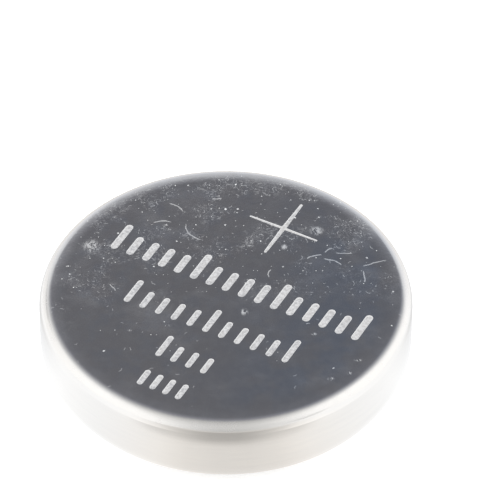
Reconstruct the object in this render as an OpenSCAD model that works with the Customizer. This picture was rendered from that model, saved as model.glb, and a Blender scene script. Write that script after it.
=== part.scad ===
// Lithium coin cell, lying on its negative cap with the face of the positive can on top.
// Sizes are in millimetres. The Z axis is the cell's own axis, and z = 0 is the negative contact face.
// The metal and plastic pieces are sections drawn with the radius across and the height up,
// turned once round the axis. All the curved layers of the seal share one centre, the curl's.

/* [Cell] */
// Diameter over the straight wall of the can
cell_d = 11.6; // [9.5:0.1:20]
// Height from the negative contact face to the positive face
cell_h = 3.05; // [2.5:0.05:5]

/* [Positive can] */
// Thickness of the can's sheet
can_t = 0.25; // [0.2:0.01:0.3]
// Outer radius of the shoulder round the positive face
shoulder_r = 0.43; // [0.35:0.01:0.52]
// Outer radius of the curl that closes the can's mouth
curl_r = 1.0; // [0.85:0.01:1.2]
// How far the curl turns in from the straight wall, in degrees
curl_angle = 84; // [70:1:90]
// How far the negative contact face stands below the curl
contact_proud = 0.34; // [0.1:0.01:0.5]

/* [Gasket] */
// Thickness of the gasket between the can's wall and the cap's rim
gasket_t = 0.3; // [0.24:0.01:0.36]
// Thickness of the gasket's floor, which the cap's rim stands on
gasket_floor_t = 0.3; // [0.2:0.01:0.4]
// Thickness of the short leg inside the cap's rim
gasket_leg_t = 0.2; // [0.15:0.01:0.3]
// Height of the short leg inside the cap's rim
gasket_leg_h = 0.45; // [0.2:0.01:0.6]

/* [Negative cap] */
// Thickness of the cap's sheet
cap_t = 0.25; // [0.2:0.01:0.3]
// Outer radius of the bend round the contact face
contact_bend_r = 0.4; // [0.35:0.01:0.5]
// Radius in the corner between the cap's wall and its step
step_bend_r = 0.12; // [0.08:0.01:0.15]
// Radial distance from the cap's wall to the curl's centre, where the step ends
step_w = 0.25; // [0.2:0.01:0.4]

/* [Stack] */
// Thickness of the lithium disc
lithium_t = 0.7; // [0.4:0.05:0.9]
// Radial distance from the lithium disc to the bend round the contact face
lithium_clear = 0.05; // [0.02:0.01:0.3]
// Thickness of the separator
separator_t = 0.15; // [0.1:0.01:0.2]
// Height of the separator's turned-up edge
separator_h = 0.9; // [0.6:0.05:1.1]
// Radial clearance between the separator and the cap
separator_clear = 0.1; // [0.05:0.01:0.3]
// Size of the bevel round both edges of the cathode pellet
pellet_bevel = 0.15; // [0.1:0.01:0.2]

/* [Collector grid] */
// Thickness of the grid
mesh_t = 0.1; // [0.06:0.01:0.14]
// How far the grid's edge lies inside the pellet's
mesh_inset = 0.3; // [0.2:0.05:0.6]
// Length of one diamond opening
diamond_l = 1.1; // [0.8:0.05:1.6]
// Width of one diamond opening
diamond_w = 0.55; // [0.4:0.05:0.8]
// Width of the strands between the openings
strand_w = 0.14; // [0.1:0.01:0.25]
// Width of the solid edge round the grid
mesh_rim_w = 0.15; // [0.1:0.05:0.4]

/* [Hidden] */
$fn = 96;

// Centre of the curl, shared by the can's mouth, the gasket and the cap's rim.
can_r = cell_d / 2;
curl_x = can_r - curl_r;
curl_z = contact_proud + curl_r;

// Inner surface of the can.
can_in_r = can_r - can_t;
can_in_z = cell_h - can_t;

// The cap's rim stands inside the gasket, and on its floor.
rim_r = can_in_r - gasket_t;
rim_in_r = rim_r - cap_t;
rim_z = can_in_z - gasket_floor_t;
rim_bend_r = curl_r - can_t - gasket_t;

// The cap's step and wall.
step_z = curl_z - rim_bend_r;
cap_wall_r = curl_x - step_w;
cap_in_r = cap_wall_r - cap_t;
step_corner_x = cap_wall_r + step_bend_r;

// The stack, from the inside of the cap up to the inside of the can.
lithium_r = cap_wall_r - contact_bend_r - lithium_clear;
separator_z = cap_t + lithium_t;
separator_r = cap_in_r - separator_clear;
pellet_r = separator_r - separator_t;
pellet_z = separator_z + separator_t;
mesh_z = can_in_z - mesh_t;
pellet_h = mesh_z - pellet_z;
mesh_r = pellet_r - mesh_inset;

// Spacing of the staggered rows of openings, so that every strand has the same width.
strand_slant = sqrt(pow(diamond_l, 2) + pow(diamond_w, 2));
pitch_l = diamond_l + strand_w * strand_slant / diamond_w;
pitch_w = diamond_w + strand_w * strand_slant / diamond_l;
rows = ceil(2 * mesh_r / pitch_w);
columns = ceil(mesh_r / pitch_l);

// A straight stretch of a section, from one radius to another and one height to another.
module stretch(x0, x1, z0, z1) {
  translate([x0, z0])
    square([x1 - x0, z1 - z0]);
}

// A bend of a section: the part of a ring between two directions up to 90 degrees apart.
module bend(x, z, r, t, from, to) {
  outer = r + t;
  // The triangle that cuts the ring reaches past it at any angle up to 90 degrees.
  reach = 2 * outer;
  translate([x, z])
    intersection() {
      difference() {
        circle(r = outer);
        circle(r = r);
      }
      polygon([
        [0, 0],
        [reach * cos(from), reach * sin(from)],
        [reach * cos(to), reach * sin(to)]
      ]);
    }
}

// Drawn cup: face, shoulder and straight wall, with its mouth curled in over the seal.
module positive_can() {
  color("gray")
    rotate_extrude() {
      stretch(0, can_r - shoulder_r, can_in_z, cell_h);
      bend(can_r - shoulder_r, cell_h - shoulder_r, shoulder_r - can_t, can_t, 0, 90);
      stretch(can_in_r, can_r, curl_z, cell_h - shoulder_r);
      bend(curl_x, curl_z, curl_r - can_t, can_t, -curl_angle, 0);
    }
}

// Moulded ring of J section: it lines the can's wall and curl, and holds the cap's rim
// between its wall and a short inner leg. Its edge shows between the can's lip and the cap.
module gasket() {
  color("ivory")
    rotate_extrude() {
      difference() {
        stretch(rim_in_r - gasket_leg_t, can_in_r, rim_z, can_in_z);
        shoulder_corner();
      }
      stretch(rim_r, can_in_r, curl_z, rim_z);
      stretch(rim_in_r - gasket_leg_t, rim_in_r, rim_z - gasket_leg_h, rim_z);
      bend(curl_x, curl_z, rim_bend_r, gasket_t, -90, 0);
      stretch(step_corner_x, curl_x, step_z - gasket_t, step_z);
    }
}

// What the inside of the can's shoulder takes off the gasket's corner.
module shoulder_corner() {
  difference() {
    stretch(can_r - shoulder_r, can_r, cell_h - shoulder_r, cell_h);
    translate([can_r - shoulder_r, cell_h - shoulder_r])
      circle(r = shoulder_r - can_t);
  }
}

// Pressed cap: contact face, wall, step under the curl, and a rim that stands in the gasket.
module negative_cap() {
  color("silver")
    rotate_extrude() {
      stretch(0, cap_wall_r - contact_bend_r, 0, cap_t);
      bend(cap_wall_r - contact_bend_r, contact_bend_r, contact_bend_r - cap_t, cap_t, -90, 0);
      stretch(cap_in_r, cap_wall_r, contact_bend_r, step_z - step_bend_r);
      bend(step_corner_x, step_z - step_bend_r, step_bend_r, cap_t, 90, 180);
      stretch(step_corner_x, curl_x, step_z, step_z + cap_t);
      bend(curl_x, curl_z, rim_bend_r - cap_t, cap_t, -90, 0);
      stretch(rim_in_r, rim_r, curl_z, rim_z);
    }
}

// Disc punched from lithium foil and pressed on the inside of the cap.
module lithium_anode() {
  color("lightsteelblue")
    translate([0, 0, cap_t])
      cylinder(r = lithium_r, h = lithium_t);
}

// Non-woven disc between the electrodes, with its edge turned up round the pellet.
module separator() {
  corner_r = pellet_r - pellet_bevel;
  corner_z = pellet_z + pellet_bevel;
  color("white")
    rotate_extrude() {
      stretch(0, corner_r, separator_z, pellet_z);
      bend(corner_r, corner_z, pellet_bevel, separator_t, -90, 0);
      stretch(pellet_r, separator_r, corner_z, separator_z + separator_h);
    }
}

// Pressed pellet of manganese dioxide, bevelled round both faces.
module cathode_pellet() {
  color("dimgray")
    translate([0, 0, pellet_z])
      rotate_extrude()
        polygon([
          [0, 0],
          [pellet_r - pellet_bevel, 0],
          [pellet_r, pellet_bevel],
          [pellet_r, pellet_h - pellet_bevel],
          [pellet_r - pellet_bevel, pellet_h],
          [0, pellet_h]
        ]);
}

// One diamond opening of the grid, longest along X.
module diamond() {
  polygon([
    [diamond_l / 2, 0],
    [0, diamond_w / 2],
    [-diamond_l / 2, 0],
    [0, -diamond_w / 2]
  ]);
}

// Steel grid between the pellet and the can: staggered rows of diamonds inside a solid edge.
module collector_mesh() {
  color("darkgray")
    translate([0, 0, mesh_z])
      linear_extrude(height = mesh_t)
        difference() {
          circle(r = mesh_r);
          for (row = [-rows : rows], column = [-columns : columns]) {
            x = (column + abs(row % 2) / 2) * pitch_l;
            y = row * pitch_w / 2;
            if (norm([abs(x) + diamond_l / 2, y]) < mesh_r - mesh_rim_w)
              translate([x, y])
                diamond();
          }
        }
}

positive_can();
gasket();
negative_cap();
lithium_anode();
separator();
cathode_pellet();
collector_mesh();
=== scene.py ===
"""The looks of a lithium coin cell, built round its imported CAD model.

The can, the gasket and the cap are turned again here from the same sections, finer and with their
small edges, and the marks are cut into the face. The pieces inside keep their CAD shape.
"""
import math
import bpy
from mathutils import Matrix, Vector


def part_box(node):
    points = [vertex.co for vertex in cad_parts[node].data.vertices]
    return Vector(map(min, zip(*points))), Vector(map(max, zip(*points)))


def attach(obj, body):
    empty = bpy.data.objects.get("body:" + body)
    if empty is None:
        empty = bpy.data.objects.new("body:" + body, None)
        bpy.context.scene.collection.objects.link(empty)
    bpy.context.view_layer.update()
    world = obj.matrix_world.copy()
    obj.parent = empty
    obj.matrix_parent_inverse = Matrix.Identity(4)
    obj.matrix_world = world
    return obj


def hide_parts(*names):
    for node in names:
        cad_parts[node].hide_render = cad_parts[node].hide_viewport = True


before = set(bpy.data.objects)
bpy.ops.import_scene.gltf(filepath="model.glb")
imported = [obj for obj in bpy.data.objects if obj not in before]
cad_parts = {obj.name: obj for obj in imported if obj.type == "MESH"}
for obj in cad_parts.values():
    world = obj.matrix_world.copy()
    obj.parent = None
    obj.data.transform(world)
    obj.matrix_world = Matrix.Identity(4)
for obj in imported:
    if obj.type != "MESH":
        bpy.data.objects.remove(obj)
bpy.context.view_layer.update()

from types import SimpleNamespace

import bpy
from mathutils import Quaternion, Vector, geometry

MM = 0.001

# Sizes of the sections that the CAD boxes don't give, in millimetres and degrees.
SHOULDER_R = 0.43
CURL_R = 1.0
CURL_ANGLE = 84
LEG_T = 0.2
LEG_H = 0.45
CAP_T = 0.25
STEP_W = 0.25
STEP_BEND_R = 0.12
CONTACT_BEND_R = 0.4
# Radius on the edges of the can's lip and of the gasket under it.
LIP_EDGE_R = 0.04
# How far from the lip's end the inside of the curl starts, in degrees.
LIP_CLEAR = 2
# The slight fall at the edge of the flat face: its radius, and how far it turns.
CROWN_R = 4.0
CROWN_ANGLE = 5.4
# Number of sides that a turned piece has, and the angle past which its edges are sharp.
SIDES = 256
SHARP_ANGLE = 30

# The marks on the face: rows of plain strokes under a plus sign, across the face at a slant.
ROW_SLANT = -28.5
MARK_DEPTH = 0.03
MARK_BEVEL = 0.03
PLUS_CENTRE = (0.22, 3.378)
# Both arms of the plus: length from the centre, half width at the tip and at the root.
PLUS_ARMS = ((1.20, 0.035, 0.052), (1.25, 0.047, 0.074))
# Each row: place of its first and its last stroke, height of their foot, length of a long and of a
# short stroke, width, and number of strokes.
ROWS = (
    (-4.05, 4.43, 0.02, 1.20, 0.87, 0.24, 16),
    (-2.53, 3.00, -1.86, 1.06, 0.76, 0.20, 11),
    (-0.52, 1.04, -3.47, 0.97, 0.70, 0.19, 4),
    (-0.42, 0.90, -4.80, 0.68, 0.68, 0.19, 4),
)
# From one long stroke of a row to the next, counted from its first stroke.
LONG_EVERY = 5

# Fine scratches on the face, each from a point to a point, and how far it bows to its left.
SCRATCHES = (
    ((4.23, 1.12), (5.03, 1.43), 0.03),
    ((3.03, 1.49), (3.62, 1.17), 0.06),
    ((3.42, 1.75), (3.96, 1.74), -0.02),
    ((2.52, 1.47), (3.00, 1.66), 0.05),
    ((3.08, 1.75), (3.32, 1.97), 0.03),
    ((-2.28, 3.13), (-1.70, 3.12), 0.07),
    ((-1.26, 3.10), (-0.72, 2.33), -0.20),
    ((-1.80, 4.00), (-1.34, 3.62), 0.06),
    ((-0.45, 4.23), (-0.12, 4.24), 0.0),
    ((-3.63, 0.35), (-3.42, 0.02), 0.03),
    ((1.40, 1.02), (1.34, 0.64), -0.05),
    ((4.28, 0.95), (4.30, 0.42), 0.02),
)
SCRATCH_HALF_WIDTH = 0.028
# Pale dabs where the face has been touched: centre and half widths.
DABS = (
    ((0.56, -0.89), (0.17, 0.20)),
    ((0.74, 2.24), (0.16, 0.34)),
    ((1.82, 2.02), (0.14, 0.16)),
    ((2.85, 2.75), (0.28, 0.26)),
    ((-4.20, 2.05), (0.36, 0.40)),
    ((-2.95, -1.70), (0.10, 0.07)),
    ((2.70, -1.85), (0.12, 0.07)),
    ((3.74, -3.54), (0.12, 0.10)),
    ((3.20, -3.79), (0.14, 0.10)),
    ((4.03, -2.98), (0.16, 0.08)),
)
# Dust on the face: cells to a millimetre, the share of them that hold a speck at the front and at
# the back of the face, and the smallest and the largest radius.
DUST = (
    (2.7, 0.025, 0.20, 0.010, 0.030),
    (5.3, 0.01, 0.12, 0.008, 0.018),
)
# Short scratches on the face: cells to a millimetre, the share of them that hold one where the face
# is clean and where it is worn, length and half width.
DASHES = (
    (2.1, 0.04, 0.42, 0.20, 0.018),
    (3.9, 0.02, 0.50, 0.13, 0.015),
    (6.5, 0.02, 0.50, 0.08, 0.013),
)
# How much of the steel each of these hides.
SCRATCH_COVER = 0.36
DAB_COVER = 0.48
DASH_COVER = 0.25
HAIRLINE_COVER = 0.14
WALL_SPECK_COVER = 0.25

# Depths below the flat face, in millimetres, between which its finish ends, the duller finish of
# the shoulder starts, and that one ends.
FACE_ENDS = (0.01, 0.07)
SHOULDER_STARTS = (0.03, 0.07)
SHOULDER_ENDS = (0.24, 0.30)

# The camera, as the object is seen from in front and above: degrees, and millimetres.
CAMERA_ELEVATION = 45.09
CAMERA_DISTANCE = 149.0
CAMERA_AIM = (0.44, 2.70, 2.70)
CAMERA_ROLL = 0.2
CAMERA_LENS = 355.3
# The nearest and the farthest that it sees, in metres.
CAMERA_CLIP = (0.005, 20)

# The soft lamp overhead: its side and place in metres, and its power in watts.
LAMP_SIDE = 0.3
LAMP_PLACE = (-0.02, -0.02, 0.28)
LAMP_POWER = 0.35

# The studio's light by direction. Over the cell it runs from the horizon behind (0 degrees) to the
# horizon in front (180); the flat face mirrors the dark opening at 45 degrees.
OVERHEAD = (
    (0, 1.05), (12, 0.96), (20, 0.88), (28, 0.80), (34, 0.76), (37.5, 0.385), (40.5, 0.22),
    (43.5, 0.170), (47, 0.178), (60, 0.21), (72, 0.26), (82, 0.32), (90, 0.41), (100, 0.55),
    (110, 0.66), (122, 0.74), (135, 0.79), (148, 0.80), (162, 0.77), (172, 0.72), (180, 0.69),
)
# How far it has turned to the light of the white walls at the sides, by the angle aside.
ASIDE = (
    (0, 0.0), (5, 0.015), (8, 0.03), (11, 0.065), (14, 0.115), (18, 0.195), (22, 0.285), (26, 0.385),
    (30, 0.49), (35, 0.65), (40, 0.84), (46, 0.96), (55, 1.0), (90, 1.0),
)
# How much wider than that the walls reach, at the left and at the right, by the angle over.
REACH_LEFT = (
    (0, 1.05), (30, 1.10), (42, 1.02), (58, 0.88), (74, 0.90), (90, 0.95), (120, 1.12), (180, 1.22),
)
REACH_RIGHT = (
    (0, 0.85), (60, 1.0), (80, 1.15), (100, 1.37), (125, 1.32), (150, 1.03), (180, 1.12),
)
# How far to the right the middle of the opening lies, as a sine.
OPENING_MIDDLE = 0.025
# The light of the walls: at the left in front, at the left behind, and at the right.
WALLS = (1.45, 1.27, 1.44)
OPENING_TINT = (0.985, 1.0, 1.12)
BACK_TINT = (0.975, 1.0, 1.07)
WHITE = (1.0, 1.0, 1.0)
# Grey cards stand where the flat face would mirror only white: azimuth and elevation of a viewer
# across from each, the card's half width and half height in degrees, and its light.
CARDS = ((45, 24, 12, 6, 0.62), (225, 14, 12, 5, 0.56))

# The floor reaches this far each way from the cell, in metres.
FLOOR_REACH = 1.0
# What the floor adds to its lit paint where the camera sees it, so that it comes out white.
FLOOR_SEEN = 0.51
# How far to the right of the cell's middle the floor's light is at its darkest, in millimetres.
FLOOR_MIDDLE = 0.3
# Light of the floor in reflections: near the cell, by the sine of the angle aside of straight in
# front; then in a ring round the cell and beyond it, by the same sine as the wall mirrors it.
FLOOR_NEAR = (
    (0, 0.965), (0.10, 0.965), (0.29, 1.03), (0.38, 1.10), (0.48, 1.17), (0.64, 1.22), (0.85, 1.28),
    (1, 1.33),
)
FLOOR_RING = (
    (0, 0.57), (0.15, 0.58), (0.28, 0.64), (0.43, 0.76), (0.53, 0.84), (0.63, 0.88), (0.71, 0.95),
    (0.78, 1.10), (0.87, 1.28), (1, 1.33),
)
FLOOR_BEYOND = (
    (0, 0.57), (0.15, 0.58), (0.28, 0.66), (0.43, 0.80), (0.53, 0.95), (0.63, 1.17), (0.71, 1.28),
    (0.78, 1.37), (1, 1.38),
)
# Its light behind the cell, near it and further off.
FLOOR_NEAR_BEHIND = 0.94
FLOOR_BEHIND = 0.98
# Far from the cell, where it is darker than that, it comes up by this share of the way.
FLOOR_EVENED = 0.6
# Radii between which it changes, in millimetres: from near to the ring, in front of the cell and
# behind it; from the ring to beyond it; and out to where it is far from the cell.
NEAR_ENDS = (7.85, 8.35)
NEAR_ENDS_BEHIND = (8.0, 16.0)
RING_ENDS = (8.45, 8.75)
FAR_STARTS = (14.0, 40.0)

# ---------------------------------------------------------------- sections

def arc(x, z, r, start, end, steps):
    """Points on a circle round (x, z), from one direction to another, in degrees."""
    angles = [math.radians(start + (end - start) * i / steps) for i in range(steps + 1)]
    return [(x + r * math.cos(a), z + r * math.sin(a)) for a in angles]


def sizes():
    """Radii and heights in millimetres: from the CAD boxes, and from the named values above."""
    can_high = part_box("positive_can")[1] / MM
    seal_low, seal_high = (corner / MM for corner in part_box("gasket"))
    cap_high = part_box("negative_cap")[1] / MM
    cell = SimpleNamespace()
    cell.can_r = can_high.x
    cell.top = can_high.z
    cell.can_in_r = seal_high.x
    cell.can_in_z = seal_high.z
    cell.rim_r = cap_high.x
    cell.rim_z = cap_high.z
    cell.seal_z = seal_low.z
    cell.can_t = cell.can_r - cell.can_in_r
    cell.seal_t = cell.can_in_r - cell.rim_r
    cell.shoulder_x = cell.can_r - SHOULDER_R
    cell.curl_x = cell.can_r - CURL_R
    cell.curl_z = cell.seal_z + CURL_R - cell.can_t
    cell.curl_in_r = CURL_R - cell.can_t
    cell.rim_bend_r = cell.curl_in_r - cell.seal_t
    cell.rim_in_r = cell.rim_r - CAP_T
    cell.step_z = cell.seal_z + cell.seal_t
    cell.wall_x = cell.curl_x - STEP_W
    cell.step_x = cell.wall_x + STEP_BEND_R
    return cell


def lip(cell):
    """The can's lip: the end of the curl, cut square and rounded at both of its edges."""
    along = math.radians(-CURL_ANGLE)
    back_x = LIP_EDGE_R * math.cos(along - math.pi / 2)
    back_z = LIP_EDGE_R * math.sin(along - math.pi / 2)
    points = []
    for r, turn in ((CURL_R - LIP_EDGE_R, 0), (cell.curl_in_r + LIP_EDGE_R, -90)):
        x = cell.curl_x + r * math.cos(along) - back_x
        z = cell.curl_z + r * math.sin(along) - back_z
        points += arc(x, z, LIP_EDGE_R, turn - CURL_ANGLE, turn - CURL_ANGLE - 90, 4)
    return points


def can_section(cell):
    """The can's section, from the edge of its flat face round the lip to the inside of the face."""
    steep = math.radians(90 - CROWN_ANGLE)
    flat_r = cell.shoulder_x + (SHOULDER_R - CROWN_R) * math.cos(steep)
    shoulder_z = cell.top - CROWN_R + (CROWN_R - SHOULDER_R) * math.sin(steep)
    points = arc(flat_r, cell.top - CROWN_R, CROWN_R, 90, 90 - CROWN_ANGLE, 8)
    points += arc(cell.shoulder_x, shoulder_z, SHOULDER_R, 90 - CROWN_ANGLE, 0, 24)[1:]
    points += arc(cell.curl_x, cell.curl_z, CURL_R, 0, -CURL_ANGLE, 28)[:-1]
    points += lip(cell)
    points += arc(cell.curl_x, cell.curl_z, cell.curl_in_r, LIP_CLEAR - CURL_ANGLE, 0, 14)
    points += arc(cell.shoulder_x, cell.top - SHOULDER_R, SHOULDER_R - cell.can_t, 0, 90, 8)
    return points + [(0, cell.can_in_z)]


def gasket_section(cell):
    """The gasket's J section, closed, with its edge under the lip rounded."""
    edge = LIP_EDGE_R
    leg_r = cell.rim_in_r - LEG_T
    leg_z = cell.rim_z - LEG_H
    points = [(leg_r, cell.can_in_z)]
    points += arc(cell.shoulder_x, cell.top - SHOULDER_R, SHOULDER_R - cell.can_t, 90, 0, 6)
    points += arc(cell.curl_x, cell.curl_z, cell.curl_in_r, 0, -90, 16)
    points += arc(cell.step_x + edge, cell.seal_z + edge, edge, -90, -180, 4)
    points += [(cell.step_x, cell.step_z)]
    points += arc(cell.curl_x, cell.curl_z, cell.rim_bend_r, -90, 0, 12)
    points += [(cell.rim_r, cell.rim_z), (cell.rim_in_r, cell.rim_z)]
    return points + [(cell.rim_in_r, leg_z), (leg_r, leg_z)]


def cap_section(cell):
    """The cap's section, from the middle of its inside round the rim to the contact face."""
    face_r = cell.wall_x - CONTACT_BEND_R
    bend_z = cell.step_z - STEP_BEND_R
    points = [(0, CAP_T)]
    points += arc(face_r, CONTACT_BEND_R, CONTACT_BEND_R - CAP_T, -90, 0, 8)
    points += arc(cell.step_x, bend_z, STEP_BEND_R + CAP_T, 180, 90, 10)
    points += arc(cell.curl_x, cell.curl_z, cell.rim_bend_r - CAP_T, -90, 0, 8)
    points += [(cell.rim_in_r, cell.rim_z), (cell.rim_r, cell.rim_z)]
    points += arc(cell.curl_x, cell.curl_z, cell.rim_bend_r, 0, -90, 12)
    points += arc(cell.step_x, bend_z, STEP_BEND_R, 90, 180, 10)
    points += arc(face_r, CONTACT_BEND_R, CONTACT_BEND_R, 0, -90, 16)
    return points + [(0, 0)]


# ---------------------------------------------------------------- meshes

def ring(r, z):
    """The points of one turn round the axis."""
    turns = [2 * math.pi * i / SIDES for i in range(SIDES)]
    return [(r * math.cos(t), r * math.sin(t), z) for t in turns]


def turned(section, closed=False):
    """Vertices and faces of a section turned round the axis, with the material to the right of its
    path. A point on the axis is one vertex."""
    verts, rings, faces = [], [], []
    for r, z in section:
        points = ring(r, z) if r > 0 else [(0, 0, z)]
        rings.append(range(len(verts), len(verts) + len(points)))
        verts += points
    pairs = list(zip(rings, rings[1:]))
    if closed:
        pairs.append((rings[-1], rings[0]))
    for a, b in pairs:
        for i in range(SIDES):
            j = (i + 1) % SIDES
            quad = [a[i % len(a)], b[i % len(b)], b[j % len(b)], a[j % len(a)]]
            faces.append(tuple(dict.fromkeys(quad)))
    return verts, faces


def made(name, verts, faces, materials, marks=()):
    """A piece in metres from points in millimetres, smooth but for its sharp edges. The faces that
    marks lists by number get the second material."""
    mesh = bpy.data.meshes.new(name)
    mesh.from_pydata([Vector(v) * MM for v in verts], [], faces)
    for material in materials:
        mesh.materials.append(material)
    for index in marks:
        mesh.polygons[index].material_index = 1
    mesh.polygons.foreach_set("use_smooth", [True] * len(faces))
    mesh.set_sharp_from_angle(angle=math.radians(SHARP_ANGLE))
    mesh.validate()
    piece = bpy.data.objects.new(name, mesh)
    bpy.context.scene.collection.objects.link(piece)
    return piece


def on_face(along, up):
    """A place among the marks, as X and Y on the face."""
    a = math.radians(ROW_SLANT)
    return (along * math.cos(a) - up * math.sin(a), along * math.sin(a) + up * math.cos(a))


def stroke(x, foot, height, width, inset):
    """The outline of an upright stroke with round ends, drawn in by inset."""
    r = width / 2
    points = arc(x, foot + height - r, r - inset, 0, 180, 8)
    return points + arc(x, foot + r, r - inset, 180, 360, 8)


def plus(inset):
    """The outline of the plus sign, whose arms narrow towards their round tips, drawn in by inset."""
    cx, cy = PLUS_CENTRE
    points = []
    for quarter in range(4):
        length, tip, root = PLUS_ARMS[quarter % 2]
        side = PLUS_ARMS[(quarter + 1) % 2][2]
        turn = 90 * quarter
        way = complex(math.cos(math.radians(turn)), math.sin(math.radians(turn)))
        end = (length - tip) * way
        points += arc(cx + end.real, cy + end.imag, tip - inset, turn - 90, turn + 90, 8)
        corner = complex(side - inset, root - inset) * way
        points.append((cx + corner.real, cy + corner.imag))
    return points


def mark_outlines(inset):
    """The outlines of all the marks, drawn in by inset."""
    outlines = [plus(inset)]
    for first, last, foot, long, short, width, count in ROWS:
        for i in range(count):
            x = first + (last - first) * i / (count - 1)
            height = short if i % LONG_EVERY else long
            outlines.append(stroke(x, foot, height, width, inset))
    return [[on_face(*point) for point in outline] for outline in outlines]


def marked_face(verts, z):
    """Faces that fill the first ring, with the marks sunk into it, and where among them the marks'
    own faces are. The points that they need are added to verts."""
    edge = [Vector(v[:2]) for v in verts[:SIDES]]
    outlines = mark_outlines(0)
    points = edge + [Vector(p) for outline in outlines for p in outline]
    loops, start = [list(range(SIDES))], SIDES
    for outline in outlines:
        loops.append(list(range(start, start + len(outline))))
        start += len(outline)
    # Fills the loops with triangles. The source of each is the loops that it lies in: the face's own
    # edge, which is loop 0, and where it lies in a mark, that mark's as well.
    _, _, triangles, origin, _, source = geometry.delaunay_2d_cdt(points, [], loops, 1, 1e-7, True)
    first = len(verts) - SIDES
    place = [o[0] if o[0] < SIDES else first + o[0] for o in origin]
    verts += [(p.x, p.y, z) for p in points[SIDES:]]
    faces = []
    for triangle, held in zip(triangles, source):
        if held == [0]:
            faces.append(tuple(place[v] for v in triangle))
    plain = len(faces)
    for loop, floor in zip(loops[1:], mark_outlines(MARK_BEVEL)):
        top = [first + v for v in loop]
        low = range(len(verts), len(verts) + len(floor))
        verts += [(x, y, z - MARK_DEPTH) for x, y in floor]
        for i in range(len(floor)):
            j = (i + 1) % len(floor)
            faces.append((top[i], top[j], low[j], low[i]))
        faces.append(tuple(low))
    return faces, range(plain, len(faces))


# ---------------------------------------------------------------- materials

class Graph:
    """Adds nodes to a node tree. What a method is given may be a plain value or a node's output."""

    def __init__(self, tree):
        self.tree = tree
        tree.nodes.clear()

    def add(self, kind, inputs=(), **settings):
        """A node of this kind, with its settings and its inputs by name or number."""
        node = self.tree.nodes.new(kind)
        for name, value in settings.items():
            setattr(node, name, value)
        for key, value in dict(inputs).items():
            self.feed(node.inputs[key], value)
        return node

    def feed(self, socket, value):
        """Links an output to the socket, or sets the socket's own value."""
        if isinstance(value, bpy.types.NodeSocket):
            self.tree.links.new(value, socket)
        else:
            socket.default_value = value

    def math(self, operation, *values, clamp=False):
        """One step of arithmetic."""
        inputs = dict(enumerate(values))
        return self.add("ShaderNodeMath", inputs, operation=operation, use_clamp=clamp).outputs[0]

    def chain(self, operation, values):
        """The same step of arithmetic with one value after the other."""
        result = values[0]
        for value in values[1:]:
            result = self.math(operation, result, value)
        return result

    def product(self, *values):
        """All of the values multiplied together."""
        return self.chain("MULTIPLY", values)

    def total(self, *values):
        """All of the values added up."""
        return self.chain("ADD", values)

    def largest(self, *values):
        """The largest of the values."""
        return self.chain("MAXIMUM", values)

    def less(self, a, b):
        """What is left of a when b is taken off."""
        return self.math("SUBTRACT", a, b)

    def apart(self, a, b):
        """How far apart two values are."""
        return self.math("ABSOLUTE", self.less(a, b))

    def length(self, a, b):
        """The long side of a right angle's triangle."""
        return self.math("SQRT", self.total(self.product(a, a), self.product(b, b)))

    def ramp(self, value, low, high, start=0.0, end=1.0):
        """A smooth step from start to end while the value goes from low to high."""
        inputs = {0: value, 1: low, 2: high, 3: start, 4: end}
        node = self.add("ShaderNodeMapRange", inputs, interpolation_type="SMOOTHSTEP")
        return node.outputs[0]

    def levels(self, value, stops):
        """A grey level that runs straight from stop to stop, each a value and its level, from a
        value of 0 up."""
        span = stops[-1][0]
        node = self.add("ShaderNodeValToRGB", {0: self.math("DIVIDE", value, span)})
        ramp = node.color_ramp.elements
        ramp[1].position = 1.0
        for at, level in stops:
            ends = {0: ramp[0], span: ramp[len(ramp) - 1]}
            stop = ends[at] if at in ends else ramp.new(at / span)
            stop.color = (level, level, level, 1)
        return self.parts(node.outputs["Color"])[0]

    def blend(self, factor, a, b):
        """Two levels mixed."""
        return self.add("ShaderNodeMix", {0: factor, 2: a, 3: b}).outputs[0]

    def mix(self, factor, a, b):
        """Two colours mixed."""
        inputs = {0: factor}
        for socket, colour in ((6, a), (7, b)):
            inputs[socket] = (*colour, 1) if isinstance(colour, tuple) else colour
        return self.add("ShaderNodeMix", inputs, data_type="RGBA").outputs[2]

    def vector(self, operation, a, b):
        """One step of arithmetic on vectors."""
        return self.add("ShaderNodeVectorMath", {0: a, 1: b}, operation=operation).outputs[0]

    def parts(self, vector):
        """The X, Y and Z of a vector."""
        return self.add("ShaderNodeSeparateXYZ", {0: vector}).outputs

    def millimetres(self):
        """The place on the piece, in millimetres."""
        place = self.add("ShaderNodeTexCoord").outputs["Object"]
        scaled = self.add("ShaderNodeVectorMath", {0: place, "Scale": 1 / MM}, operation="SCALE")
        return scaled.outputs[0]

    def stretched(self, place, scale):
        """The place, stretched by a scale along each axis."""
        return self.vector("MULTIPLY", place, scale)

    def noise(self, place, scale, detail, distortion=0.0):
        """Cloudy noise, as many bumps to a millimetre as the scale says."""
        inputs = {"Vector": place, "Scale": scale, "Detail": detail, "Distortion": distortion}
        return self.add("ShaderNodeTexNoise", inputs).outputs["Fac"]

    def bump(self, height, depth):
        """A normal bent by a height, of which 1 stands for the depth in millimetres."""
        return self.add("ShaderNodeBump", {"Height": height, "Distance": depth * MM}).outputs[0]

    def surface(self, **inputs):
        """The shader, joined to the output. Underscores in a name stand for spaces."""
        named = {name.replace("_", " "): value for name, value in inputs.items()}
        shader = self.add("ShaderNodeBsdfPrincipled", named)
        self.add("ShaderNodeOutputMaterial", {"Surface": shader.outputs[0]})


def new_material(name):
    """An empty material and the graph that fills it."""
    material = bpy.data.materials.new(name)
    material.use_nodes = True
    return material, Graph(material.node_tree)


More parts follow.
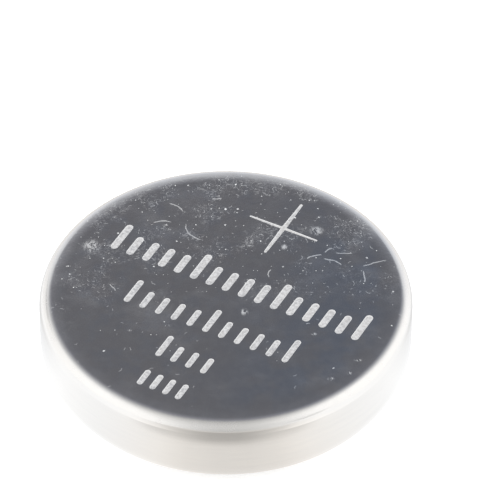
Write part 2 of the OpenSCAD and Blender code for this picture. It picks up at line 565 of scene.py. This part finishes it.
def scattered(g, place, scale, dimensions="2D"):
    """Cells scattered over a surface: the distance to the cell's own point, three lots drawn for the
    cell, and the way from its point."""
    inputs = {"Vector": place, "Scale": scale}
    cells = g.add("ShaderNodeTexVoronoi", inputs, voronoi_dimensions=dimensions).outputs
    off = g.vector("SUBTRACT", place, cells["Position"])
    return cells["Distance"], g.parts(cells["Color"]), off


def dust(g, place, scale, share, smallest, largest, dimensions="2D"):
    """Specks of dust, not quite round: one at most to a cell, on that share of the cells, with radii
    in millimetres."""
    distance, lot, _ = scattered(g, place, scale, dimensions)
    size = g.ramp(g.product(lot[0], lot[0]), 0.0, 1.0, smallest * scale, largest * scale)
    ragged = g.product(size, g.ramp(g.noise(place, 25.0, 1.0), 0.3, 0.7, 0.6, 1.4))
    speck = g.math("LESS_THAN", distance, ragged)
    return g.product(speck, g.math("LESS_THAN", lot[1], share), g.ramp(lot[2], 0.0, 1.0, 0.45, 1.0))


def streak(g, off, angle, length, bow, half_width):
    """A fine line that starts where the offset is nothing, bowed in the middle and thinner at its
    ends."""
    level = g.add("ShaderNodeVectorRotate", {"Vector": off, "Angle": angle}, rotation_type="Z_AXIS")
    along, across, _ = g.parts(level.outputs[0])
    part = g.math("DIVIDE", along, length)
    middle = g.product(part, g.less(1.0, part), 4.0)
    away = g.apart(across, g.product(middle, bow))
    return g.product(g.ramp(away, half_width * 0.3, half_width, 1.0, 0.0), g.ramp(middle, 0.0, 0.4))


def dashes(g, place, scale, share, length, half_width):
    """Short bent scratches lying all ways: one at most to a cell, on that share of the cells."""
    _, lot, off = scattered(g, place, scale)
    bow = g.ramp(lot[2], 0.0, 1.0, -0.3 * length, 0.3 * length)
    line = streak(g, off, g.product(lot[0], 2 * math.pi), length, bow, half_width)
    return g.product(line, g.math("LESS_THAN", lot[1], share))


def scratch(g, place, start, end, bow):
    """One fine scratch across the face."""
    off = g.vector("SUBTRACT", place, (*start, 0))
    angle = math.atan2(end[1] - start[1], end[0] - start[0])
    return streak(g, off, -angle, math.dist(start, end), bow, SCRATCH_HALF_WIDTH)


def dab(g, place, centre, size):
    """One pale dab, broken up by streaks."""
    off = g.vector("SUBTRACT", place, (*centre, 0))
    x, y, _ = g.parts(g.stretched(off, (1 / size[0], 1 / size[1], 0)))
    broken = g.noise(g.stretched(place, (1.6, 0.7, 1.0)), 9.0, 3.0, 1.0)
    return g.product(g.ramp(g.length(x, y), 0.2, 1.0, 1.0, 0.0), g.ramp(broken, 0.42, 0.58))


def hairlines(g, place, scale, fineness, distortion):
    """Fine crooked lines, where cloudy noise crosses its middle value."""
    cloud = g.noise(place, scale, 3.0, distortion)
    return g.ramp(g.apart(cloud, 0.5), 0.0, fineness, 1.0, 0.0)


def crooked(g, place):
    """The place, shifted a little to and fro, so that a line drawn by it is crooked."""
    cloud = g.add("ShaderNodeTexNoise", {"Vector": place, "Scale": 4.0, "Detail": 3.0})
    either_way = g.vector("SUBTRACT", cloud.outputs["Color"], (0.5, 0.5, 0.5))
    return g.vector("ADD", place, g.stretched(either_way, (0.12, 0.12, 0.0)))


def handling(g, place, far):
    """The dust, scratches and dabs on the face, up to 1 where the steel is hidden."""
    worn = g.product(g.ramp(g.noise(place, 0.9, 4.0, 0.4), 0.46, 0.60), far)
    bent = crooked(g, place)
    layers = [g.product(hairlines(g, place, 5.0, 0.03, 1.0), worn, HAIRLINE_COVER)]
    for scale, front, back, smallest, largest in DUST:
        layers.append(dust(g, place, scale, g.ramp(far, 0.0, 1.0, front, back), smallest, largest))
    for scale, clean, rough, length, half_width in DASHES:
        share = g.ramp(worn, 0.0, 1.0, clean, rough)
        layers.append(g.product(dashes(g, bent, scale, share, length, half_width), DASH_COVER))
    for points in SCRATCHES:
        layers.append(g.product(scratch(g, bent, *points), SCRATCH_COVER))
    for spot in DABS:
        layers.append(g.product(dab(g, place, *spot), DAB_COVER))
    return g.largest(*layers)


def can_metal(g, place, face, mottle):
    """The colour of the can's steel: in warm and bluish patches on the face under a pale film, and
    in drawn streaks on the wall."""
    x, y, _ = g.parts(place)
    cloud = g.noise(place, 1.1, 3.0)
    slope = g.ramp(g.less(x, g.product(y, 0.3)), -1.0, 4.0)
    patches = g.ramp(g.noise(place, 1.8, 3.0), 0.42, 0.66, 0.0, 0.32)
    bluish = g.largest(g.product(slope, g.ramp(cloud, 0.35, 0.60, 0.35, 1.0)), patches)
    inward = g.ramp(g.length(x, y), 4.5, 5.3, 1.0, 0.35)
    warm, cool = (0.645, 0.635, 0.62), (0.545, 0.595, 0.66)
    on_top = g.mix(g.product(face, bluish, inward), warm, cool)
    drawn = g.noise(g.stretched(place, (0.35, 0.35, 5.0)), 2.0, 4.0)
    wall = g.mix(g.ramp(drawn, 0.30, 0.70), (0.703, 0.691, 0.675), (0.718, 0.705, 0.685))
    film = g.product(face, g.ramp(mottle, 0.35, 0.70), 0.22)
    return g.mix(film, g.mix(face, wall, on_top), (0.80, 0.81, 0.79))


def can_steel(cell):
    """Polished drawn steel: a handled face with dust, smudges and fine scratches, a duller shoulder,
    and a wall with a few faint specks."""
    material, g = new_material("can_steel")
    place = g.millimetres()
    x, y, z = g.parts(place)
    depth = g.less(cell.top, z)
    face = g.ramp(depth, *FACE_ENDS, 1.0, 0.0)
    shoulder = g.product(g.ramp(depth, *SHOULDER_STARTS), g.ramp(depth, *SHOULDER_ENDS, 1.0, 0.0))
    far = g.ramp(g.less(y, g.product(x, 0.1)), -3.6, 4.6)
    specks = g.product(dust(g, place, 1.6, 0.30, 0.02, 0.06, "3D"), WALL_SPECK_COVER)
    marks = g.blend(face, specks, handling(g, place, far))
    mottle = g.noise(place, 3.2, 4.0)
    smudge = g.product(face, g.ramp(g.noise(place, 0.8, 4.0, 0.4), 0.45, 0.75))
    grain = g.noise(g.stretched(place, (1.0, 1.0, 0.15)), 9.0, 3.0)
    polish = g.blend(shoulder, 0.10, g.ramp(mottle, 0.3, 0.7, 0.20, 0.28))
    g.surface(
        Base_Color=g.mix(marks, can_metal(g, place, face, mottle), (0.74, 0.75, 0.75)),
        Metallic=g.less(1.0, marks),
        Roughness=g.total(polish, g.product(smudge, 0.08), g.product(marks, 0.5)),
        Normal=g.bump(g.total(grain, g.product(marks, 2.0)), 0.0012),
    )
    return material


def engraved_steel(cell):
    """The frosted steel at the bottom of the marks, with a painted highlight up their sloping edges.
    """
    material, g = new_material("engraved_steel")
    place = g.millimetres()
    _, _, z = g.parts(place)
    depth = g.less(cell.top, z)
    # Painted highlight: the base colour turns paler up the marks' sloping edges, standing in for the
    # light that they catch.
    slope = g.ramp(depth, 0.005, MARK_DEPTH - 0.001, 1.0, 0.0)
    grain = g.noise(place, 12.0, 4.0)
    cloud = g.noise(place, 1.3, 3.0)
    frost = g.mix(g.ramp(cloud, 0.35, 0.65), (0.47, 0.47, 0.48), (0.56, 0.55, 0.54))
    frost = g.mix(g.ramp(grain, 0.35, 0.65), frost, (0.70, 0.70, 0.70))
    g.surface(
        Base_Color=g.mix(slope, frost, (0.74, 0.74, 0.74)),
        Metallic=0.3,
        Roughness=g.ramp(grain, 0.3, 0.7, 0.55, 0.8),
        Normal=g.bump(grain, 0.006),
    )
    return material


def cap_steel():
    """Pressed steel with fine turned rings on the contact face."""
    material, g = new_material("cap_steel")
    place = g.millimetres()
    x, y, _ = g.parts(place)
    radius = g.add("ShaderNodeCombineXYZ", {0: g.length(x, y)}).outputs[0]
    rings = g.noise(radius, 14.0, 3.0)
    cloud = g.noise(place, 0.7, 3.0)
    lines = g.product(hairlines(g, place, 1.4, 0.005, 1.0), g.ramp(cloud, 0.48, 0.60), 0.5)
    marks = g.largest(dust(g, place, 3.0, 0.10, 0.015, 0.04), lines)
    metal = g.mix(cloud, (0.64, 0.64, 0.65), (0.70, 0.70, 0.70))
    g.surface(
        Base_Color=g.mix(marks, metal, (0.82, 0.82, 0.82)),
        Metallic=g.less(1.0, marks),
        Roughness=g.total(g.ramp(rings, 0.3, 0.7, 0.20, 0.30), g.product(marks, 0.3)),
        Normal=g.bump(rings, 0.002),
    )
    return material


def seal_plastic():
    """Natural moulded polypropylene."""
    material, g = new_material("seal_plastic")
    place = g.millimetres()
    cloud = g.noise(place, 1.2, 3.0)
    grain = g.noise(place, 14.0, 2.0)
    g.surface(
        Base_Color=g.mix(cloud, (0.80, 0.79, 0.74), (0.87, 0.86, 0.82)),
        Roughness=g.ramp(grain, 0.3, 0.7, 0.35, 0.55),
        IOR=1.49,
        Normal=g.bump(grain, 0.004),
    )
    return material


def lithium_metal():
    """Soft silvery foil with a dull bloom."""
    material, g = new_material("lithium_metal")
    place = g.millimetres()
    rolled = g.noise(g.stretched(place, (0.3, 3.0, 1.0)), 3.0, 4.0)
    bloom = g.noise(place, 0.9, 4.0)
    g.surface(
        Base_Color=g.mix(g.ramp(bloom, 0.4, 0.7), (0.66, 0.68, 0.71), (0.44, 0.46, 0.50)),
        Metallic=g.ramp(bloom, 0.4, 0.8, 1.0, 0.6),
        Roughness=g.ramp(rolled, 0.3, 0.7, 0.35, 0.55),
        Normal=g.bump(rolled, 0.01),
    )
    return material


def separator_felt():
    """White felt of melted fibres."""
    material, g = new_material("separator_felt")
    place = g.millimetres()
    fibres = g.largest(hairlines(g, place, 4.0, 0.05, 1.5), hairlines(g, place, 7.0, 0.06, 1.0))
    cloud = g.noise(place, 1.5, 3.0)
    g.surface(
        Base_Color=g.mix(g.product(fibres, cloud), (0.80, 0.80, 0.78), (0.90, 0.90, 0.88)),
        Roughness=g.ramp(cloud, 0.3, 0.7, 0.8, 0.95),
        Sheen_Weight=0.2,
        Normal=g.bump(fibres, 0.02),
    )
    return material


def cathode_black():
    """Pressed black powder with coarser grains in it."""
    material, g = new_material("cathode_black")
    place = g.millimetres()
    grains = g.add("ShaderNodeTexVoronoi", {"Vector": place, "Scale": 12.0}).outputs["Distance"]
    powder = g.noise(place, 20.0, 4.0)
    g.surface(
        Base_Color=g.mix(powder, (0.03, 0.03, 0.033), (0.075, 0.073, 0.075)),
        Roughness=g.ramp(powder, 0.3, 0.7, 0.7, 0.9),
        Normal=g.bump(g.total(grains, powder), 0.02),
    )
    return material


def grid_steel():
    """Plain steel strands, cut and drawn open."""
    material, g = new_material("grid_steel")
    place = g.millimetres()
    drawn = g.noise(g.stretched(place, (1.0, 4.0, 1.0)), 6.0, 3.0)
    g.surface(
        Base_Color=g.mix(drawn, (0.50, 0.50, 0.51), (0.62, 0.62, 0.63)),
        Metallic=1.0,
        Roughness=g.ramp(drawn, 0.3, 0.7, 0.25, 0.4),
        Normal=g.bump(drawn, 0.004),
    )
    return material


# ---------------------------------------------------------------- pieces

def place_piece(piece, node):
    """Puts a new piece on the body in place of its CAD node."""
    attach(piece, "root")
    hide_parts(node)


def make_can(cell):
    """The can, with the marks cut into its flat face."""
    verts, faces = turned(can_section(cell))
    face, marks = marked_face(verts, cell.top)
    marks = range(len(faces) + marks.start, len(faces) + marks.stop)
    can = made("can", verts, faces + face, [can_steel(cell), engraved_steel(cell)], marks)
    place_piece(can, "positive_can")


def make_gasket(cell):
    """The gasket, which shows as a thin ring under the lip."""
    verts, faces = turned(gasket_section(cell), closed=True)
    place_piece(made("seal", verts, faces, [seal_plastic()]), "gasket")


def make_cap(cell):
    """The cap, which the cell lies on."""
    verts, faces = turned(cap_section(cell))
    place_piece(made("cap", verts, faces, [cap_steel()]), "negative_cap")


def finish_stack():
    """The pieces inside keep their CAD shape and get their own finish."""
    finishes = {
        "lithium_anode": lithium_metal(),
        "separator": separator_felt(),
        "cathode_pellet": cathode_black(),
        "collector_mesh": grid_steel(),
    }
    for node, material in finishes.items():
        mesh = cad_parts[node].data
        mesh.materials.clear()
        mesh.materials.append(material)


# ---------------------------------------------------------------- stage

def floor_glow(g, cell):
    """The floor as reflections show it, in the light that it gets from the studio."""
    x, y, _ = g.parts(g.millimetres())
    radius = g.length(x, y)
    back = g.math("DIVIDE", y, radius)
    behind = g.ramp(back, -0.3, 0.35)
    aside = g.math("DIVIDE", g.apart(x, FLOOR_MIDDLE), radius)
    near = g.blend(behind, g.levels(aside, FLOOR_NEAR), FLOOR_NEAR_BEHIND)
    # Off the front of the round wall, the floor's rays seem to meet half its radius behind it.
    ahead = g.largest(g.less(-cell.can_r / 2, y), 0.0)
    sideways = g.math("DIVIDE", g.math("ABSOLUTE", x), g.length(x, ahead))
    in_ring = g.levels(sideways, FLOOR_RING)
    beyond = g.levels(sideways, FLOOR_BEYOND)
    far = g.blend(g.ramp(radius, *RING_ENDS), in_ring, beyond)
    evened = g.blend(FLOOR_EVENED, far, g.largest(far, FLOOR_BEHIND))
    far = g.blend(g.ramp(radius, *FAR_STARTS), far, evened)
    far = g.blend(g.ramp(back, 0.5, 1.0), far, FLOOR_BEHIND)
    near_ends = g.blend(behind, g.ramp(radius, *NEAR_ENDS), g.ramp(radius, *NEAR_ENDS_BEHIND))
    tint = g.mix(g.ramp(aside, 0.3, 0.9), (1.03, 1.0, 0.965), (0.99, 1.0, 1.015))
    light = g.blend(near_ends, near, far)
    return g.add("ShaderNodeEmission", {"Color": tint, "Strength": light}).outputs[0]


def floor_white(cell):
    """Pale paint that the camera sees as white but for the cell's soft shadow."""
    material, g = new_material("floor_white")
    path = g.add("ShaderNodeLightPath").outputs
    paint = g.add("ShaderNodeBsdfDiffuse", {"Color": (0.9, 0.9, 0.9, 1)}).outputs[0]
    white = g.add("ShaderNodeEmission", {"Strength": g.product(path["Is Camera Ray"], FLOOR_SEEN)})
    seen = g.add("ShaderNodeAddShader", {0: paint, 1: white.outputs[0]}).outputs[0]
    mirrored = g.largest(path["Is Glossy Ray"], path["Is Transmission Ray"])
    mixed = g.add("ShaderNodeMixShader", {0: mirrored, 1: seen, 2: floor_glow(g, cell)})
    g.add("ShaderNodeOutputMaterial", {"Surface": mixed.outputs[0]})
    return material


def make_floor(cell):
    """A plain pale floor."""
    reach = FLOOR_REACH
    corners = [(-reach, -reach, 0), (reach, -reach, 0), (reach, reach, 0), (-reach, reach, 0)]
    mesh = bpy.data.meshes.new("floor")
    mesh.from_pydata(corners, [], [(0, 1, 2, 3)])
    mesh.materials.append(floor_white(cell))
    floor = bpy.data.objects.new("floor", mesh)
    bpy.context.scene.collection.objects.link(floor)


def with_card(g, direction, light, card):
    """The studio's light with one of the grey cards in it, soft at its edge."""
    azimuth, elevation, half_width, half_height, shade = card
    turn, tilt = math.radians(azimuth), math.radians(elevation)
    centre = (-math.sin(turn) * math.cos(tilt), math.cos(turn) * math.cos(tilt), math.sin(tilt))
    size = (math.sin(math.radians(half_width)), 1, math.sin(math.radians(half_height)))
    inputs = {"Vector": direction, "Location": centre, "Rotation": (tilt, 0, turn), "Scale": size}
    on_card = g.add("ShaderNodeMapping", inputs, vector_type="TEXTURE").outputs[0]
    away = g.add("ShaderNodeVectorMath", {0: on_card}, operation="LENGTH").outputs["Value"]
    return g.blend(g.ramp(away, 0.5, 1.0, 1.0, 0.0), light, shade)


def make_world():
    """A white studio with a darker opening high at the back, which the flat face mirrors. The
    camera itself sees it plain white."""
    world = bpy.data.worlds.new("studio")
    bpy.context.scene.world = world
    world.use_nodes = True
    g = Graph(world.node_tree)
    degrees = 180 / math.pi
    direction = g.add("ShaderNodeTexCoord").outputs["Generated"]
    x, y, z = g.parts(direction)
    over = g.product(g.math("ARCTAN2", z, y), degrees)
    # Clamped at 1, so no direction counts as more than 57 degrees aside.
    side = g.product(g.math("ARCSINE", g.apart(x, OPENING_MIDDLE), clamp=True), degrees)
    front, back, right = WALLS
    walls = g.blend(g.ramp(x, -0.5, 0.5), g.ramp(y, -0.1, 0.7, front, back), right)
    reach_left = g.levels(over, REACH_LEFT)
    reach_right = g.levels(over, REACH_RIGHT)
    reach = g.blend(g.ramp(x, -0.05, 0.05), reach_left, reach_right)
    aside = g.levels(g.product(side, reach), ASIDE)
    light = g.blend(aside, g.levels(over, OVERHEAD), walls)
    for card in CARDS:
        light = with_card(g, direction, light, card)
    tint = g.mix(g.largest(g.ramp(over, 55.0, 110.0), aside), BACK_TINT, WHITE)
    tint = g.mix(g.ramp(light, 0.3, 0.6, 1.0, 0.0), tint, OPENING_TINT)
    seen = g.add("ShaderNodeLightPath").outputs["Is Camera Ray"]
    inputs = {"Color": g.mix(seen, tint, WHITE), "Strength": g.largest(light, seen)}
    background = g.add("ShaderNodeBackground", inputs)
    g.add("ShaderNodeOutputWorld", {"Surface": background.outputs[0]})


def make_lamp():
    """One broad soft lamp overhead. It doesn't show in the steel."""
    data = bpy.data.lights.new("overhead", "AREA")
    data.size = LAMP_SIDE
    data.energy = LAMP_POWER
    lamp = bpy.data.objects.new("overhead", data)
    lamp.location = LAMP_PLACE
    lamp.rotation_euler = (-lamp.location).to_track_quat("-Z", "Y").to_euler()
    lamp.visible_glossy = False
    bpy.context.scene.collection.objects.link(lamp)


def make_camera():
    """The camera in front of the cell and above it, with a long lens."""
    data = bpy.data.cameras.new("camera")
    data.lens = CAMERA_LENS
    data.clip_start, data.clip_end = CAMERA_CLIP
    camera = bpy.data.objects.new("camera", data)
    tilt = math.radians(CAMERA_ELEVATION)
    camera.location = Vector((0, -math.cos(tilt), math.sin(tilt))) * CAMERA_DISTANCE * MM
    look = Vector(CAMERA_AIM) * MM - camera.location
    turn = look.to_track_quat("-Z", "Y") @ Quaternion((0, 0, 1), math.radians(CAMERA_ROLL))
    camera.rotation_euler = turn.to_euler()
    bpy.context.scene.collection.objects.link(camera)
    bpy.context.scene.camera = camera


cell = sizes()
make_camera()
make_can(cell)
make_gasket(cell)
make_cap(cell)
finish_stack()
make_floor(cell)
make_world()
make_lamp()
bpy.context.scene.view_settings.view_transform = "Standard"
